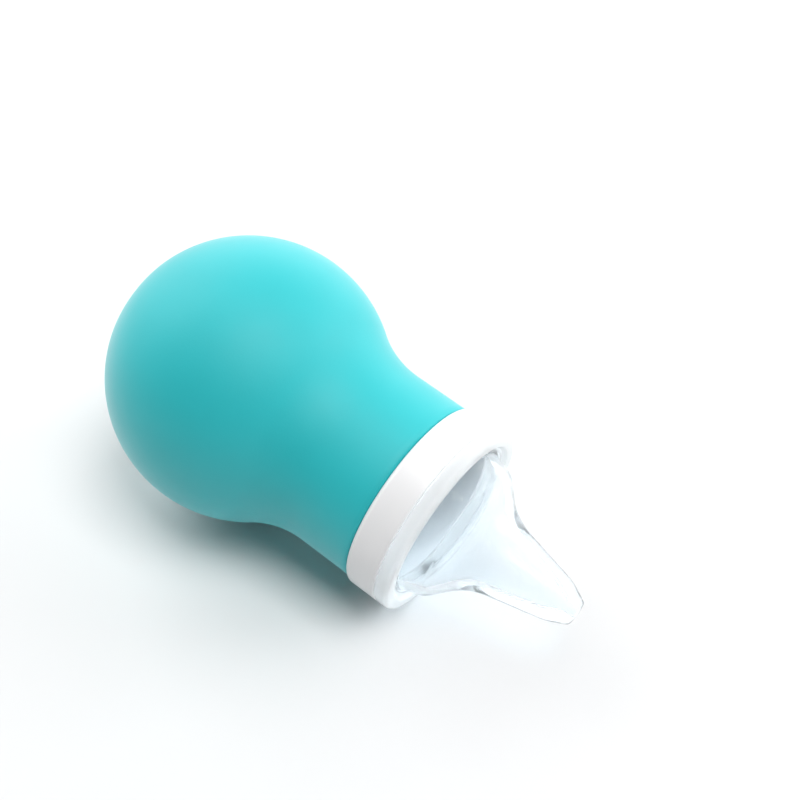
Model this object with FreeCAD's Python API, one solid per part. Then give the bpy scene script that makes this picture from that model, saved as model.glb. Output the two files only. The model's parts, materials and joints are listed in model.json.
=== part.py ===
import FreeCAD, Part
import math
import os

# Nasal aspirator with a squeeze bulb, lying on a table.
#
# Every piece is turned about one straight line, the tool's long axis. It is
# drawn in axis coordinates: x runs along the axis from the centre of the bulb
# towards the nozzle, and r is the distance from the axis. Then the whole tool
# is laid down: the bulb and the front edge of the nozzle's flange rest on
# z = 0, so the axis dips towards the nozzle, which points to +X.
# All sizes are in millimetres.

V = FreeCAD.Vector

# --- driving dimensions -----------------------------------------------------
bulb_radius = 30.0            # outside radius of the round bulb
bulb_wall = 2.5               # silicone wall of the bulb and neck
waist_radius = 22.0           # hollow curve between bulb and neck
neck_radius = 20.3            # outside radius of the straight neck

base_plane = 25.5             # flat base, distance behind the bulb's centre
base_thickness = 3.3          # the base is thicker than the wall
stand_rim_round = 1.6         # outer edge of the rim the tool stands on
stand_rim_inner_round = 0.5   # inner edge of that rim
pad_opening_radius = 13.5     # inside of the stand rim
pad_gap = 0.3                 # radial room round the moving thumb pad
pad_recess = 0.6              # the pad's face lies this deep behind the rim
pad_edge_round = 0.4
vent_radius = 2.68            # air hole that the thumb covers
vent_offset = 7.3             # its distance from the axis

ring_start = 42.7             # rear face of the collar ring
ring_width = 7.3
ring_radius = 21.0
ring_rear_round = 1.2
ring_front_round = 0.4
face_gap = 0.1                # between faces that butt together
edge_round = 0.3              # plain moulded edges
plug_lead_round = 0.6         # leading edge of each plug that is pushed in
fit_clearance = 0.08          # radial clearance of the two plug fits
spigot_length = 9.5           # part of the collar that plugs into the neck
spigot_wall = 1.7
socket_radius = 17.3          # inside of the collar's front socket
socket_depth = 5.8

flange_thickness = 3.1        # nozzle flange, as wide as the ring
flange_front_round = 1.0
rim_inner_radius = 18.4       # the flange's front rim stands proud of the dome's foot
rim_inner_round = 0.3
skirt_inner_radius = 15.4     # the nozzle's skirt plugs into the socket
skirt_end_gap = 0.3
seat_depth = 0.7              # sunk land between rim and dome
seat_radius = 17.7
seat_round = 0.2
dome_foot_depth = 0.8         # where the dome rises from it
dome_foot_radius = 16.3
dome_foot_round = 0.15
dome_shoulder = (57.0, 14.8)  # end of the steep band, start of the cone
dome_neck = (62.9, 8.4)       # inner corner between dome and tip
dome_shoulder_round = 3.0
dome_neck_round = 14.0
tip_shoulder = (79.0, 4.70)   # the taper turns in here to the tip's mouth
tip_nose_radius = 14.0
tip_end = 83.3
tip_mouth_corner = 2.60       # radius of the mouth's flat end
tip_mouth_round = 1.0
outlet_radius = 0.95
outlet_length = 2.4
outlet_funnel_round = 1.0     # corner between the outlet and the bore's end
bore_end = (76.5, 2.8)        # inside of the nozzle: narrow end of the bore
bore_start = (62.3, 6.4)      # its wide end, where the hollow dome begins
hollow_shoulder = (56.3, 13.1)
bore_end_round = 2.0
bore_start_round = 10.0
hollow_shoulder_round = 1.5
skirt_mouth_round = 1.0       # where the hollow dome meets the skirt's inside

floor_flat = 0.25             # how far the soft bulb flattens on the table
flange_flat = 0.38            # the same at the flange's lowest edge

cut_margin = 1.0              # how far a cutting shape runs past its piece
table_half_width = 200.0      # block that stands for the table
table_depth = 50.0

# --- sizes worked out from them -----------------------------------------------
neck_inner_radius = neck_radius - bulb_wall
neck_end = ring_start - face_gap
ring_end = ring_start + ring_width
flange_start = ring_end + face_gap
flange_end = flange_start + flange_thickness
spigot_radius = neck_inner_radius - fit_clearance
skirt_radius = socket_radius - fit_clearance
axis_height = bulb_radius - floor_flat


# --- drawing helpers ------------------------------------------------------------
def point(x, r):
    """A point of the half section, in axis coordinates."""
    return V(x, r, 0)


def line(start, end):
    return Part.LineSegment(start, end).toShape()


def round_corners(corners):
    """Edges of a closed outline of straight runs with rounded corners.

    corners is a list of (x, r, radius of the corner).
    """
    starts = []
    ends = []
    middles = []
    count = len(corners)
    for i in range(count):
        x, r, radius = corners[i]
        here = point(x, r)
        if radius == 0:
            starts.append(here)
            ends.append(here)
            middles.append(None)
            continue
        before = point(corners[i - 1][0], corners[i - 1][1])
        after = point(corners[(i + 1) % count][0], corners[(i + 1) % count][1])
        back = (before - here).normalize()
        ahead = (after - here).normalize()
        half_angle = back.getAngle(ahead) / 2
        reach = radius / math.tan(half_angle)
        bisector = (back + ahead).normalize()
        centre = here + bisector * (radius / math.sin(half_angle))
        starts.append(here + back * reach)
        ends.append(here + ahead * reach)
        middles.append(centre - bisector * radius)
    edges = []
    for i in range(count):
        if middles[i] is not None:
            edges.append(Part.Arc(starts[i], middles[i], ends[i]).toShape())
        edges.append(line(ends[i], starts[(i + 1) % count]))
    return edges


def turn(edges):
    """Turn a closed half section about the long axis into a solid."""
    face = Part.Face(Part.Wire(edges))
    return face.revolve(V(0, 0, 0), V(1, 0, 0), 360)


def circle_arc(centre, radius, start, end):
    """Arc from start to end, by the shorter way round the centre."""
    middle = ((start - centre).normalize() + (end - centre).normalize()).normalize()
    return Part.Arc(start, centre + middle * radius, end).toShape()


# --- bulb -----------------------------------------------------------------------
def bulb_side(offset):
    """One side of the bulb's wall, offset inwards, from the base to the neck.

    Returns its two arcs, its rear point and its front point.
    """
    radius = bulb_radius - offset
    waist = waist_radius + offset
    rear_x = -base_plane if offset == 0 else -base_plane + base_thickness
    rear = point(rear_x, math.sqrt(radius ** 2 - rear_x ** 2))

    between_centres = bulb_radius + waist_radius
    waist_centre_r = neck_radius + waist_radius
    waist_centre_x = math.sqrt(between_centres ** 2 - waist_centre_r ** 2)
    waist_centre = point(waist_centre_x, waist_centre_r)
    meeting = waist_centre * (radius / between_centres)
    front = point(waist_centre_x, neck_radius - offset)
    body = circle_arc(V(0, 0, 0), radius, rear, meeting)
    throat = circle_arc(waist_centre, waist, meeting, front)
    return [body, throat], rear, front


def make_bulb():
    """The squeeze bulb with its neck, and an opening for the thumb pad."""
    outer, outer_rear, outer_front = bulb_side(0.0)
    inner, inner_rear, inner_front = bulb_side(bulb_wall)
    neck_outer = point(neck_end, neck_radius)
    neck_inner = point(neck_end, neck_inner_radius)
    rim_outer = point(-base_plane, pad_opening_radius)
    rim_inner = point(-base_plane + base_thickness, pad_opening_radius)
    edges = outer + inner
    edges.append(line(outer_front, neck_outer))
    edges.append(line(neck_outer, neck_inner))
    edges.append(line(neck_inner, inner_front))
    edges.append(line(inner_rear, rim_inner))
    edges.append(line(rim_inner, rim_outer))
    edges.append(line(rim_outer, outer_rear))
    solid = turn(Part.__sortEdges__(edges))
    solid = solid.makeFillet(stand_rim_round, rim_edges(solid, outer_rear.y))
    return solid.makeFillet(stand_rim_inner_round, rim_edges(solid, pad_opening_radius))


def rim_edges(solid, radius):
    """The circular edges of the base plane that have this radius."""
    found = []
    for edge in solid.Edges:
        if not isinstance(edge.Curve, Part.Circle):
            continue
        on_plane = abs(edge.Curve.Center.x + base_plane) < 1e-4
        if on_plane and abs(edge.Curve.Radius - radius) < 1e-3:
            found.append(edge)
    return found


def make_bulb_base():
    """The thumb pad in the middle of the base, with its off-centre vent hole."""
    face_x = -base_plane + pad_recess
    back_x = -base_plane + base_thickness
    pad_radius = pad_opening_radius - pad_gap
    corners = [
        (face_x, 0, 0),
        (face_x, pad_radius, pad_edge_round),
        (back_x, pad_radius, pad_edge_round),
        (back_x, 0, 0),
    ]
    pad = turn(round_corners(corners))
    vent_start = V(face_x - cut_margin, 0, vent_offset)
    vent_length = base_thickness + 2 * cut_margin
    vent = Part.makeCylinder(vent_radius, vent_length, vent_start, V(1, 0, 0))
    return pad.cut(vent)


# --- collar ring ------------------------------------------------------------------
def make_collar_ring():
    """Rigid ring: a spigot for the bulb's neck behind, a socket for the nozzle."""
    spigot_start = ring_start - spigot_length
    spigot_bore = spigot_radius - spigot_wall
    socket_floor = ring_end - socket_depth
    corners = [
        (spigot_start, spigot_bore, edge_round),
        (spigot_start, spigot_radius, plug_lead_round),
        (ring_start, spigot_radius, 0),
        (ring_start, ring_radius, ring_rear_round),
        (ring_end, ring_radius, ring_front_round),
        (ring_end, socket_radius, edge_round),
        (socket_floor, socket_radius, 0),
        (socket_floor, spigot_bore, edge_round),
    ]
    return turn(round_corners(corners))


# --- nozzle -----------------------------------------------------------------------
def make_nozzle():
    """Soft clear nozzle: skirt, flange, dome and tapering tip, in one piece."""
    skirt_start = ring_end - socket_depth + skirt_end_gap
    seat_x = flange_end - seat_depth
    foot_x = flange_end - dome_foot_depth
    outlet_start = tip_end - outlet_length
    outside = [
        (skirt_start, skirt_inner_radius, edge_round),
        (skirt_start, skirt_radius, plug_lead_round),
        (flange_start, skirt_radius, 0),
        (flange_start, ring_radius, edge_round),
        (flange_end, ring_radius, flange_front_round),
        (flange_end, rim_inner_radius, rim_inner_round),
        (seat_x, seat_radius, seat_round),
        (foot_x, dome_foot_radius, dome_foot_round),
        (dome_shoulder[0], dome_shoulder[1], dome_shoulder_round),
        (dome_neck[0], dome_neck[1], dome_neck_round),
        (tip_shoulder[0], tip_shoulder[1], tip_nose_radius),
        (tip_end, tip_mouth_corner, tip_mouth_round),
    ]
    inside = [
        (tip_end, outlet_radius, 0),
        (outlet_start, outlet_radius, outlet_funnel_round),
        (bore_end[0], bore_end[1], bore_end_round),
        (bore_start[0], bore_start[1], bore_start_round),
        (hollow_shoulder[0], hollow_shoulder[1], hollow_shoulder_round),
        (flange_start, skirt_inner_radius, skirt_mouth_round),
    ]
    return turn(round_corners(outside + inside))


# --- laying the tool down -----------------------------------------------------------
def dip_angle():
    """Angle at which bulb and flange edge both touch the table, in radians."""
    edge_x = flange_end - flange_front_round
    edge_r = ring_radius - flange_front_round
    drop = axis_height - flange_front_round + flange_flat
    return math.asin(drop / math.hypot(edge_x, edge_r)) - math.atan2(edge_r, edge_x)


def lay_down(shape):
    """Turn the drawn axis to its dipping direction and lift it off the table."""
    placed = shape.copy()
    turned = FreeCAD.Rotation(V(0, 1, 0), math.degrees(dip_angle()))
    placed.Placement = FreeCAD.Placement(V(0, 0, axis_height), turned)
    return placed


def press_flat(shape):
    """Cut off what would be below the table, as the soft wall flattens there."""
    corner = V(-table_half_width, -table_half_width, -table_depth)
    table = Part.makeBox(2 * table_half_width, 2 * table_half_width, table_depth, corner)
    return shape.cut(table)


def main():
    os.makedirs("parts", exist_ok=True)
    pieces = {
        "bulb": press_flat(lay_down(make_bulb())),
        "bulb_base": lay_down(make_bulb_base()),
        "collar_ring": lay_down(make_collar_ring()),
        "nozzle": press_flat(lay_down(make_nozzle())),
    }
    box = FreeCAD.BoundBox()
    for shape in pieces.values():
        box.add(shape.optimalBoundingBox(False))
    middle = (box.XMin + box.XMax) / 2
    for name, shape in pieces.items():
        shape.translate(V(-middle, 0, 0))
        shape.exportStep("parts/" + name + ".step")
        solids = len(shape.Solids)
        print(name, "solids", solids, "valid", shape.isValid(), "volume", round(shape.Volume, 1))
    print("dip", round(math.degrees(dip_angle()), 3), "bulb centre x", round(-middle, 4))
    print("size", round(box.XLength, 2), round(box.YLength, 2), round(box.ZLength, 2))


main()
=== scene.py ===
import json
import math

import bmesh
import bpy
from mathutils import Matrix, Vector


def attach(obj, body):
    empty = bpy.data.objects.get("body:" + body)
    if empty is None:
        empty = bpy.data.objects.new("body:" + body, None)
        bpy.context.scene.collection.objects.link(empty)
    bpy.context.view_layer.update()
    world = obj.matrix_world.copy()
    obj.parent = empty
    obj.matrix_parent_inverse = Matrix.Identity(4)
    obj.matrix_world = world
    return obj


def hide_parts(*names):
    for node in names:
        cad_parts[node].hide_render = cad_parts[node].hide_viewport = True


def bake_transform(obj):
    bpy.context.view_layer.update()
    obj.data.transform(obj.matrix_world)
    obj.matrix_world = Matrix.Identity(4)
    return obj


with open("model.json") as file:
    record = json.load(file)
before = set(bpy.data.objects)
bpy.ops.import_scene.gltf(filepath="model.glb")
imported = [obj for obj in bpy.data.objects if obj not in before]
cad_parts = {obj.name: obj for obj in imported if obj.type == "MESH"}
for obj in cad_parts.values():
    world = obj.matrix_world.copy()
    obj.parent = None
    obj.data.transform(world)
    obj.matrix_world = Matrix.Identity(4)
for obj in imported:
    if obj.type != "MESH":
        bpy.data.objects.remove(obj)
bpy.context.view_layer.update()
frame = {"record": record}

# A squeeze-bulb nasal aspirator lying on a pale table. Like its CAD solids,
# each piece is a half section turned about the tool's long axis: x runs along
# the axis from the centre of the bulb towards the nozzle, and r is the
# distance from the axis. Outlines are in millimetres, and the meshes that are
# made from them in metres.

MM = 0.001

# --- outline sizes, in millimetres ---
bulb_radius = 30.0
bulb_wall = 2.5
waist_radius = 22.0           # hollow curve between bulb and neck
neck_radius = 20.3
neck_end = 42.6
neck_edge = 0.4               # bevel at the neck's open end
rear_end = 24.6               # the round wall ends here, and the base begins
base_plane = 25.5
base_inside = 22.2
stand_rim_radius = 14.1       # middle of the rim that the tool can stand on
rim_corner_radius = 15.8
rim_inner_radius = 13.5
pad_slope_radius = 12.6
pad_flat_radius = 11.2
pad_recess = 0.6
vent_radius = 2.68
vent_offset = 7.3             # distance of the vent hole from the axis
vent_lip = 0.25
ring_start = 42.7
ring_end = 50.0
ring_radius = 21.0
spigot_end = 33.2             # the collar's plug reaches this far back into the neck
spigot_radius = 17.72
spigot_bore = 16.02
socket_end = 44.2             # bottom of the collar's socket for the nozzle
socket_radius = 17.3
skirt_end = 44.5              # the nozzle's plug reaches this far back into the socket
skirt_radius = 17.22
skirt_bore = 15.4
flange_start = 50.1
flange_end = 53.2
mouth = 83.3                  # the nozzle's end
outlet_radius = 0.95
milky_radii = (16.8, 17.8)    # the nozzle goes from clear to milky between these

turn_steps = 192              # facets round the axis
vent_rings = 12               # rings of faces from the pad's flat to the vent hole

# --- the tool's axis, read from the frame ---
mounts = {mount["name"]: mount for mount in frame["record"]["mounts"]}
axis = -Vector(mounts["stand_rim"]["axis"]).normalized()
across = Vector((0, 1, 0))
upward = axis.cross(across)
rim_point = Vector(mounts["stand_rim"]["pos_m"])
bulb_centre = rim_point + axis * base_plane * MM - upward * stand_rim_radius * MM


def along(x, r=0.0):
    """World place of a point in axis coordinates, r measured upward."""
    return bulb_centre + axis * x * MM + upward * r * MM


# --- outlines ---
def arc(centre, radius, start, end, steps):
    """Points on an arc, angles in degrees from the axis direction."""
    points = []
    for i in range(steps + 1):
        angle = math.radians(start + (end - start) * i / steps)
        points.append((centre[0] + radius * math.cos(angle), centre[1] + radius * math.sin(angle)))
    return points


def straight(start, end, steps):
    """Points on a straight run, ends included."""
    points = []
    for i in range(steps + 1):
        s = i / steps
        points.append((start[0] + (end[0] - start[0]) * s, start[1] + (end[1] - start[1]) * s))
    return points


def corner_points(before, corner, after, radius, step):
    """Points on the arc that rounds a corner between two straight lines."""
    here = Vector(corner)
    back = (Vector(before) - here).normalized()
    ahead = (Vector(after) - here).normalized()
    half = back.angle(ahead) / 2
    reach = radius / math.tan(half)
    centre = here + (back + ahead).normalized() * (radius / math.sin(half))
    first = here + back * reach - centre
    last = here + ahead * reach - centre
    sweep = first.angle_signed(last)
    pieces = max(3, int(abs(sweep) * radius / step), int(abs(sweep) / 0.22))
    turns = [Matrix.Rotation(-sweep * j / pieces, 2) for j in range(pieces + 1)]
    return [tuple(centre + turn @ first) for turn in turns]


def rounded(corners, closed=True, step=0.4):
    """Outline of straight lines with rounded corners, given as (x, r, radius of the corner).

    Points are about step apart on the corners and three times that on the lines.
    """
    count = len(corners)
    points = []
    for i in range(count):
        x, r, radius = corners[i]
        at_end = not closed and i in (0, count - 1)
        if radius == 0 or at_end:
            points.append((x, r))
        else:
            points += corner_points(corners[i - 1][:2], (x, r), corners[(i + 1) % count][:2], radius, step)
    if closed:
        points.append(points[0])
    result = [points[0]]
    for a, b in zip(points, points[1:]):
        result += straight(a, b, int(math.dist(a, b) / (3 * step)) + 1)[1:]
    if closed:
        result.pop()
    return result


def rings_round_vent(x, hole_r, outer_r):
    """Flat rings from the vent hole out to a circle round the axis, as (x, r, shift)."""
    rings = []
    for i in range(vent_rings + 1):
        s = i / vent_rings
        rings.append((x, hole_r + (outer_r - hole_r) * s, vent_offset * (1 - s)))
    return rings


def turned_mesh(name, outline):
    """Turn a closed outline about the axis into a mesh of quads.

    Points are (x, r), or (x, r, shift) for a ring whose centre lies above the axis.
    """
    vertices = []
    for point in outline:
        x, r, shift = (*point, 0.0)[:3]
        for j in range(turn_steps):
            angle = 2 * math.pi * j / turn_steps
            place = along(x, shift + r * math.cos(angle)) + across * (r * math.sin(angle) * MM)
            place.z = max(place.z, 0.0)   # soft silicone rests flat on the table
            vertices.append(place)
    faces = []
    count = len(outline)
    for i in range(count):
        k = (i + 1) % count
        for j in range(turn_steps):
            m = (j + 1) % turn_steps
            faces.append((i * turn_steps + j, i * turn_steps + m, k * turn_steps + m, k * turn_steps + j))
    mesh = bpy.data.meshes.new(name)
    mesh.from_pydata(vertices, [], faces)
    mesh.validate()
    work = bmesh.new()
    work.from_mesh(mesh)
    bmesh.ops.recalc_face_normals(work, faces=work.faces)
    work.to_mesh(mesh)
    work.free()
    for polygon in mesh.polygons:
        polygon.use_smooth = True
    piece = bpy.data.objects.new(name, mesh)
    bpy.context.scene.collection.objects.link(piece)
    return piece


# --- materials ---
def new_material(name):
    material = bpy.data.materials.new(name)
    material.use_nodes = True
    nodes = material.node_tree.nodes
    return material, nodes, material.node_tree.links, nodes["Principled BSDF"]


def noise(nodes, links, scale, detail=2.0):
    place = nodes.new("ShaderNodeTexCoord")
    texture = nodes.new("ShaderNodeTexNoise")
    texture.inputs["Scale"].default_value = scale
    texture.inputs["Detail"].default_value = detail
    links.new(place.outputs["Object"], texture.inputs["Vector"])
    return texture.outputs["Fac"]


def cloudy_colour(nodes, links, scale, low, high):
    """A colour that drifts between two close ones."""
    blend = nodes.new("ShaderNodeValToRGB")
    blend.color_ramp.elements[0].position = 0.3
    blend.color_ramp.elements[0].color = (*low, 1)
    blend.color_ramp.elements[1].position = 0.7
    blend.color_ramp.elements[1].color = (*high, 1)
    links.new(noise(nodes, links, scale), blend.inputs["Fac"])
    return blend.outputs["Color"]


def patchy_roughness(nodes, links, shader, scale, low, high):
    level = nodes.new("ShaderNodeMapRange")
    level.inputs["To Min"].default_value = low
    level.inputs["To Max"].default_value = high
    links.new(noise(nodes, links, scale), level.inputs["Value"])
    links.new(level.outputs["Result"], shader.inputs["Roughness"])


def grain(nodes, links, shader, scale, strength):
    node = nodes.new("ShaderNodeBump")
    node.inputs["Strength"].default_value = strength
    node.inputs["Distance"].default_value = 0.0001
    links.new(noise(nodes, links, scale, 1.0), node.inputs["Height"])
    links.new(node.outputs["Normal"], shader.inputs["Normal"])


def by_radius(nodes, links, radii, low, high):
    """A value that goes from low to high between two distances from the axis, in mm."""
    place = nodes.new("ShaderNodeTexCoord")
    offset = nodes.new("ShaderNodeVectorMath")
    offset.operation = "SUBTRACT"
    offset.inputs[1].default_value = bulb_centre
    links.new(place.outputs["Object"], offset.inputs[0])
    sideways = nodes.new("ShaderNodeVectorMath")
    sideways.operation = "CROSS_PRODUCT"
    sideways.inputs[1].default_value = axis
    links.new(offset.outputs["Vector"], sideways.inputs[0])
    distance = nodes.new("ShaderNodeVectorMath")
    distance.operation = "LENGTH"
    links.new(sideways.outputs["Vector"], distance.inputs[0])
    level = nodes.new("ShaderNodeMapRange")
    level.inputs["From Min"].default_value = radii[0] * MM
    level.inputs["From Max"].default_value = radii[1] * MM
    level.inputs["To Min"].default_value = low
    level.inputs["To Max"].default_value = high
    links.new(distance.outputs["Value"], level.inputs["Value"])
    return level.outputs["Result"]


def teal_silicone():
    """Matte soft-touch silicone: slightly uneven teal with a very fine grain."""
    material, nodes, links, shader = new_material("teal_silicone")
    colour = cloudy_colour(nodes, links, 45.0, (0.003, 0.472, 0.507), (0.005, 0.502, 0.539))
    links.new(colour, shader.inputs["Base Color"])
    patchy_roughness(nodes, links, shader, 160.0, 0.58, 0.66)
    shader.inputs["Subsurface Weight"].default_value = 0.25
    shader.inputs["Subsurface Radius"].default_value = (0.2, 1.0, 1.0)
    shader.inputs["Subsurface Scale"].default_value = 0.002
    shader.inputs["Specular IOR Level"].default_value = 0.7
    shader.inputs["Sheen Weight"].default_value = 0.42
    shader.inputs["Sheen Roughness"].default_value = 0.38
    grain(nodes, links, shader, 2600.0, 0.12)
    return material


def collar_white():
    """Smooth white moulded plastic with a faint unevenness."""
    material, nodes, links, shader = new_material("collar_white")
    colour = cloudy_colour(nodes, links, 60.0, (0.85, 0.85, 0.855), (0.88, 0.88, 0.885))
    links.new(colour, shader.inputs["Base Color"])
    patchy_roughness(nodes, links, shader, 220.0, 0.24, 0.34)
    grain(nodes, links, shader, 900.0, 0.05)
    return material


def nozzle_clear():
    """Clear silicone that lets lamp light through its walls.

    The thick flange looks milky, the thin dome and tip nearly clear.
    """
    material, nodes, links, shader = new_material("nozzle_clear")
    thin = cloudy_colour(nodes, links, 80.0, (0.845, 0.875, 0.895), (0.865, 0.895, 0.915))
    colour = nodes.new("ShaderNodeMix")
    colour.data_type = "RGBA"
    colour.inputs["B"].default_value = (0.88, 0.91, 0.93, 1)
    links.new(by_radius(nodes, links, milky_radii, 0.0, 1.0), colour.inputs["Factor"])
    links.new(thin, colour.inputs["A"])
    links.new(colour.outputs["Result"], shader.inputs["Base Color"])
    links.new(by_radius(nodes, links, milky_radii, 0.95, 0.3), shader.inputs["Transmission Weight"])
    patchy_roughness(nodes, links, shader, 240.0, 0.06, 0.11)
    shader.inputs["IOR"].default_value = 1.15
    shader.inputs["Subsurface Weight"].default_value = 1.0
    shader.inputs["Subsurface Radius"].default_value = (1.0, 1.0, 1.0)
    shader.inputs["Subsurface Scale"].default_value = 0.004
    # Refraction alone would leave the inside of the nozzle in full shadow.
    for_lamps = nodes.new("ShaderNodeBsdfTransparent")
    for_lamps.inputs["Color"].default_value = (0.84, 0.87, 0.885, 1)
    ray = nodes.new("ShaderNodeLightPath")
    either = nodes.new("ShaderNodeMixShader")
    links.new(ray.outputs["Is Shadow Ray"], either.inputs["Fac"])
    links.new(shader.outputs["BSDF"], either.inputs[1])
    links.new(for_lamps.outputs["BSDF"], either.inputs[2])
    links.new(either.outputs["Shader"], nodes["Material Output"].inputs["Surface"])
    return material


# --- bulb ---
def bulb_side(offset, rear_x):
    """The wall from rear_x to the neck's bevel, offset inwards by offset."""
    radius = bulb_radius - offset
    waist_r = neck_radius + waist_radius
    between = bulb_radius + waist_radius
    waist_x = math.sqrt(between ** 2 - waist_r ** 2)
    meeting = math.degrees(math.atan2(waist_r, waist_x))
    rear_angle = math.degrees(math.acos(rear_x / radius))
    neck_r = neck_radius - offset
    points = arc((0, 0), radius, rear_angle, meeting, 60)
    points += arc((waist_x, waist_r), waist_radius + offset, meeting + 180, 270, 24)[1:]
    points += straight((waist_x, neck_r), (neck_end - neck_edge, neck_r), 10)[1:]
    return points


def make_bulb():
    """One silicone skin: outside wall, base with its vent hole, inside wall."""
    outside = bulb_side(0.0, -rear_end)
    outside.append((neck_end, neck_radius - neck_edge))
    inside = bulb_side(bulb_wall, -base_inside)
    inside.append((neck_end, neck_radius - bulb_wall + neck_edge))
    pad_x = pad_recess - base_plane
    rim = rounded([
        (outside[0][0], outside[0][1], 0),
        (-base_plane, rim_corner_radius, 1.6),
        (-base_plane, rim_inner_radius, 0.5),
        (pad_x, pad_slope_radius, 0.8),
        (pad_x, pad_flat_radius, 0),
    ], closed=False, step=0.25)
    pad = rings_round_vent(pad_x, vent_radius + vent_lip, pad_flat_radius)
    lip = [
        (pad_x + 0.3 * vent_lip, vent_radius + 0.3 * vent_lip, vent_offset),
        (pad_x + vent_lip, vent_radius, vent_offset),
    ]
    bore = straight((pad_x + vent_lip, vent_radius), (-base_inside, vent_radius), 4)
    bore = [(x, r, vent_offset) for x, r in bore]
    back_of_base = rings_round_vent(-base_inside, vent_radius, inside[0][1] - 1.0)
    outline = back_of_base[1:] + inside + outside[::-1] + rim[1:-1] + pad[::-1] + lip + bore[1:]
    return turned_mesh("bulb_skin", outline)


# --- collar ring ---
def make_collar():
    return turned_mesh("collar", rounded([
        (spigot_end, spigot_bore, 0.3),
        (spigot_end, spigot_radius, 0.6),
        (ring_start, spigot_radius, 0.2),
        (ring_start, ring_radius, 1.2),
        (ring_end, ring_radius, 0.4),
        (ring_end, socket_radius, 0.3),
        (socket_end, socket_radius, 0.2),
        (socket_end, spigot_bore, 0.3),
    ]))


# --- nozzle ---
def make_nozzle():
    """Skirt, flange, dome and tip outside, then the bore and the hollow dome inside."""
    return turned_mesh("nozzle_skin", rounded([
        (skirt_end, skirt_bore, 0.3),
        (skirt_end, skirt_radius, 0.6),
        (flange_start, skirt_radius, 0.2),
        (flange_start, ring_radius, 0.3),
        (flange_end, ring_radius, 1.0),
        (flange_end, 18.4, 0.3),
        (flange_end - 0.7, 17.7, 0.2),
        (flange_end - 0.8, 16.3, 0.15),
        (57.0, 14.8, 3.0),
        (62.9, 8.4, 14.0),
        (79.0, 4.70, 14.0),
        (mouth, 2.60, 1.0),
        (mouth, outlet_radius, 0.2),
        (mouth - 2.4, outlet_radius, 1.0),
        (76.5, 2.8, 2.0),
        (62.3, 6.4, 10.0),
        (56.3, 13.1, 1.5),
        (flange_start, skirt_bore, 1.0),
    ], step=0.25))


bulb = make_bulb()
bulb.data.materials.append(teal_silicone())
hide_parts("bulb", "bulb_base")
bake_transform(bulb)

collar = make_collar()
collar.data.materials.append(collar_white())
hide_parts("collar_ring")
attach(collar, "collar")

nozzle = make_nozzle()
nozzle.data.materials.append(nozzle_clear())
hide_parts("nozzle")
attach(nozzle, "nozzle_body")


# --- table ---
def make_table():
    mesh = bpy.data.meshes.new("table")
    half = 3.0   # metres
    corners = [(-half, -half, 0), (half, -half, 0), (half, half, 0), (-half, half, 0)]
    mesh.from_pydata(corners, [], [(0, 1, 2, 3)])
    table = bpy.data.objects.new("table", mesh)
    bpy.context.scene.collection.objects.link(table)
    material, nodes, links, shader = new_material("table_white")
    colour = cloudy_colour(nodes, links, 6.0, (0.725, 0.727, 0.73), (0.74, 0.742, 0.745))
    links.new(colour, shader.inputs["Base Color"])
    shader.inputs["Roughness"].default_value = 0.6
    mesh.materials.append(material)


make_table()

# --- camera and light ---
view_azimuth = math.radians(37.16)
view_elevation = math.radians(44.42)
bulb_in_view = Vector((-0.03136, 0.00440, -0.28515))   # right, up and back from the lens
box_distance = 0.9            # from the origin to each softbox, in metres


def direction(azimuth, elevation):
    """Unit vector; azimuth 0 is along -Y and turns towards +X."""
    return Vector((math.sin(azimuth) * math.cos(elevation),
                   -math.cos(azimuth) * math.cos(elevation),
                   math.sin(elevation)))


def make_camera():
    right = Vector((math.cos(view_azimuth), math.sin(view_azimuth), 0))
    back = direction(view_azimuth, view_elevation)
    top = back.cross(right)
    turn = Matrix((right, top, back)).transposed()
    lens = bpy.data.cameras.new("camera")
    lens.lens = 61.1
    lens.clip_start = 0.01
    camera = bpy.data.objects.new("camera", lens)
    camera.matrix_world = Matrix.Translation(bulb_centre - turn @ bulb_in_view) @ turn.to_4x4()
    bpy.context.scene.collection.objects.link(camera)
    bpy.context.scene.camera = camera


def softbox(name, azimuth, elevation, size, power):
    """A soft light that faces the tool; azimuth 0 is behind the camera, 180 beyond the tool."""
    place = direction(view_azimuth - math.radians(azimuth), math.radians(elevation))
    light = bpy.data.lights.new(name, "AREA")
    light.shape = "RECTANGLE"
    light.size = size[0]
    light.size_y = size[1]
    light.energy = power
    box = bpy.data.objects.new(name, light)
    box.location = place * box_distance
    box.rotation_euler = place.to_track_quat("Z", "Y").to_euler()
    bpy.context.scene.collection.objects.link(box)


def make_surroundings(fill, through):
    """Plain pale surroundings, of strength fill, or through where they show through the nozzle."""
    world = bpy.data.worlds.new("studio")
    bpy.context.scene.world = world
    world.use_nodes = True
    nodes = world.node_tree.nodes
    links = world.node_tree.links
    ray = nodes.new("ShaderNodeLightPath")
    level = nodes.new("ShaderNodeMapRange")
    level.inputs["To Min"].default_value = fill
    level.inputs["To Max"].default_value = through
    links.new(ray.outputs["Transmission Depth"], level.inputs["Value"])
    links.new(level.outputs["Result"], nodes["Background"].inputs["Strength"])
    nodes["Background"].inputs["Color"].default_value = (0.97, 0.985, 1.0, 1)


make_camera()
make_surroundings(fill=0.14, through=0.62)
softbox("overhead", azimuth=318, elevation=72, size=(0.45, 0.45), power=5.9)
softbox("rear", azimuth=131, elevation=38, size=(0.86, 0.82), power=6.3)
softbox("side", azimuth=263, elevation=20, size=(0.45, 0.45), power=4.0)
softbox("beyond", azimuth=200, elevation=18, size=(1.4, 0.4), power=4.8)
bpy.context.scene.view_settings.view_transform = "Standard"
